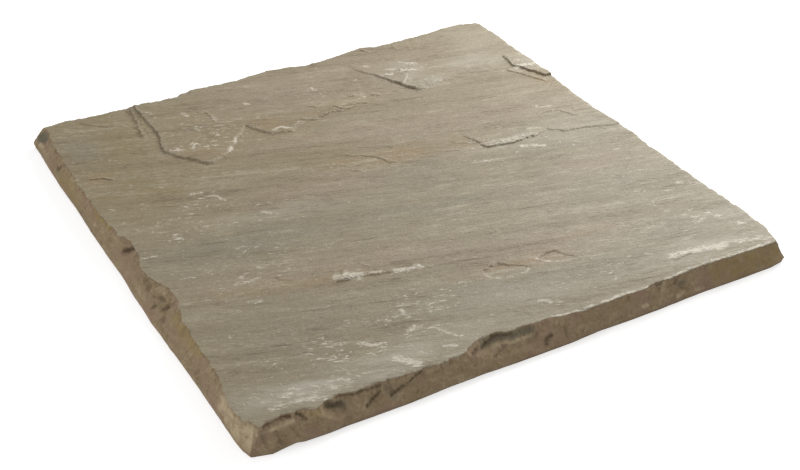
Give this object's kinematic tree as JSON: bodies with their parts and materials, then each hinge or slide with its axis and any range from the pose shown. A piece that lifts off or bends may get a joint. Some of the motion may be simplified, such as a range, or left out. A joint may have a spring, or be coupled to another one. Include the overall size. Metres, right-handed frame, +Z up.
{
  "type": "paving slab",
  "caption": "Square riven sandstone paving slab with a flat bed, hand-dressed flared sides and a cleft top face.",
  "frame": {"origin": "centre of the footprint, on the surface that the slab lies on", "axes": "+X along the front side from its left end to its right end, +Y from the front side to the back side, +Z up out of the cleft face"},
  "size_m": [0.606, 0.602, 0.0286],
  "materials": {
    "sandstone": "riven, grey-brown to buff, faintly silky on the cleft beds"
  },
  "bodies": {
    "root": {"paving_slab": "sandstone"}
  },
  "joints": []
}
